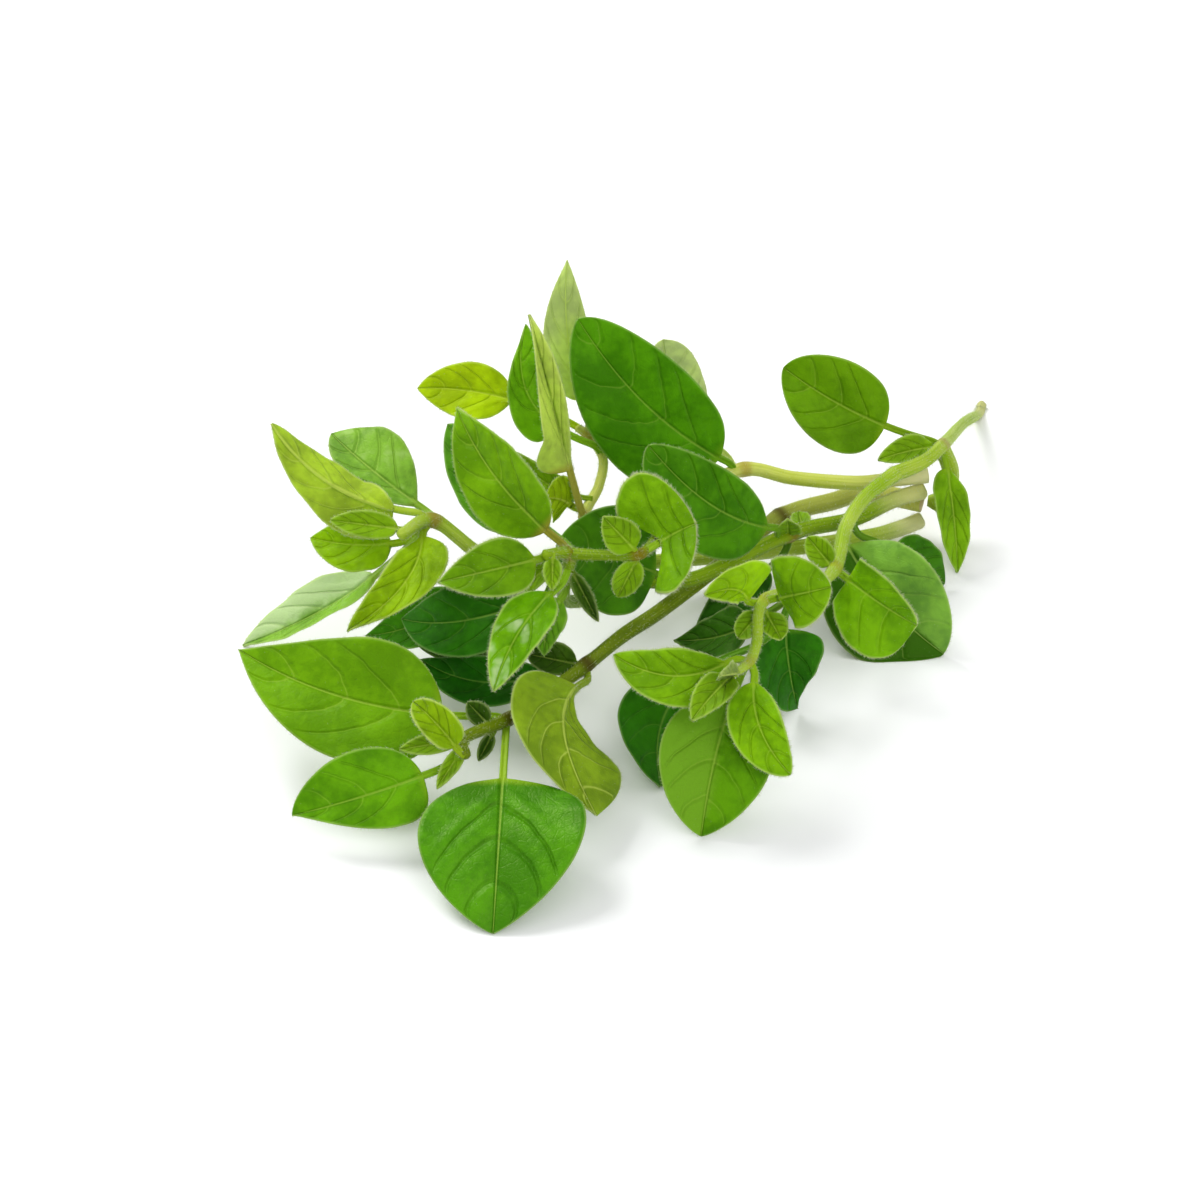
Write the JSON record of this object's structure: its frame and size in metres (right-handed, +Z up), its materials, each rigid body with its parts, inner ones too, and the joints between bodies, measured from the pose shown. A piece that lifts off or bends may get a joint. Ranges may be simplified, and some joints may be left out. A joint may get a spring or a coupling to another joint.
{
  "type": "oregano sprig",
  "caption": "Cut oregano sprig lying on its side: a branched leafy stem with pairs of small pointed oval leaves that rest on the surface.",
  "frame": {"origin": "on the surface that the sprig lies on, under the middle of its box", "axes": "+Z up from the surface; +Y away from the picture's viewer, towards the cut end at the back; +X to the viewer's right"},
  "size_m": [0.1069, 0.1148, 0.0446],
  "materials": {
    "leaf_bluish_green": "satin, finely hairy leaf blade with sunken veins",
    "leaf_deep_green": "satin, finely hairy leaf blade with sunken veins",
    "leaf_fresh_green": "satin, finely hairy leaf blade with sunken veins",
    "leaf_middle_green": "satin, finely hairy leaf blade with sunken veins",
    "leaf_shaded_green": "satin, finely hairy leaf blade with sunken veins",
    "leaf_underside_green": "satin, finely hairy leaf blade with sunken veins",
    "leaf_yellow_green": "satin, finely hairy leaf blade with sunken veins",
    "stem_olive": "fresh stem with short pale hairs",
    "stem_pale": "fresh stem with short pale hairs"
  },
  "bodies": {
    "root": {"leaf_base_drooping": "leaf_middle_green", "leaf_base_left": "leaf_middle_green", "leaf_front_back": "leaf_shaded_green", "leaf_front_broad": "leaf_deep_green", "leaf_front_curled": "leaf_underside_green", "leaf_front_hanging": "leaf_underside_green", "leaf_front_left": "leaf_middle_green", "leaf_front_lower_left": "leaf_middle_green", "leaf_heap_dark": "leaf_shaded_green", "leaf_heap_dark_right": "leaf_shaded_green", "leaf_heap_large": "leaf_deep_green", "leaf_left_bluish": "leaf_bluish_green", "leaf_left_facing": "leaf_yellow_green", "leaf_left_glossy": "leaf_bluish_green", "leaf_left_inner": "leaf_deep_green", "leaf_left_low": "leaf_shaded_green", "leaf_left_pale": "leaf_yellow_green", "leaf_left_tall": "leaf_yellow_green", "leaf_middle_down": "leaf_middle_green", "leaf_middle_left": "leaf_fresh_green", "leaf_middle_low": "leaf_shaded_green", "leaf_middle_tall": "leaf_fresh_green", "leaf_middle_tall_back": "leaf_deep_green", "leaf_middle_under": "leaf_shaded_green", "leaf_near_dark_back": "leaf_shaded_green", "leaf_near_dark_left": "leaf_shaded_green", "leaf_near_dark_right": "leaf_shaded_green", "leaf_near_lower_left": "leaf_fresh_green", "leaf_near_lower_right": "leaf_fresh_green", "leaf_near_table": "leaf_middle_green", "leaf_near_upper_left": "leaf_fresh_green", "leaf_near_upper_right": "leaf_fresh_green", "leaf_right_bluish": "leaf_bluish_green", "leaf_right_far": "leaf_shaded_green", "leaf_right_front": "leaf_fresh_green", "leaf_side_round": "leaf_fresh_green", "leaf_top_behind": "leaf_bluish_green", "leaf_top_dark": "leaf_deep_green", "leaf_top_folded": "leaf_underside_green", "leaf_top_large": "leaf_deep_green", "leaf_top_left": "leaf_yellow_green", "leaf_top_low": "leaf_underside_green", "leaf_top_pale": "leaf_underside_green", "stem_base": "stem_pale", "stem_front": "stem_olive", "stem_left": "stem_pale", "stem_middle": "stem_olive", "stem_right": "stem_pale", "stem_top": "stem_pale"}
  },
  "joints": []
}
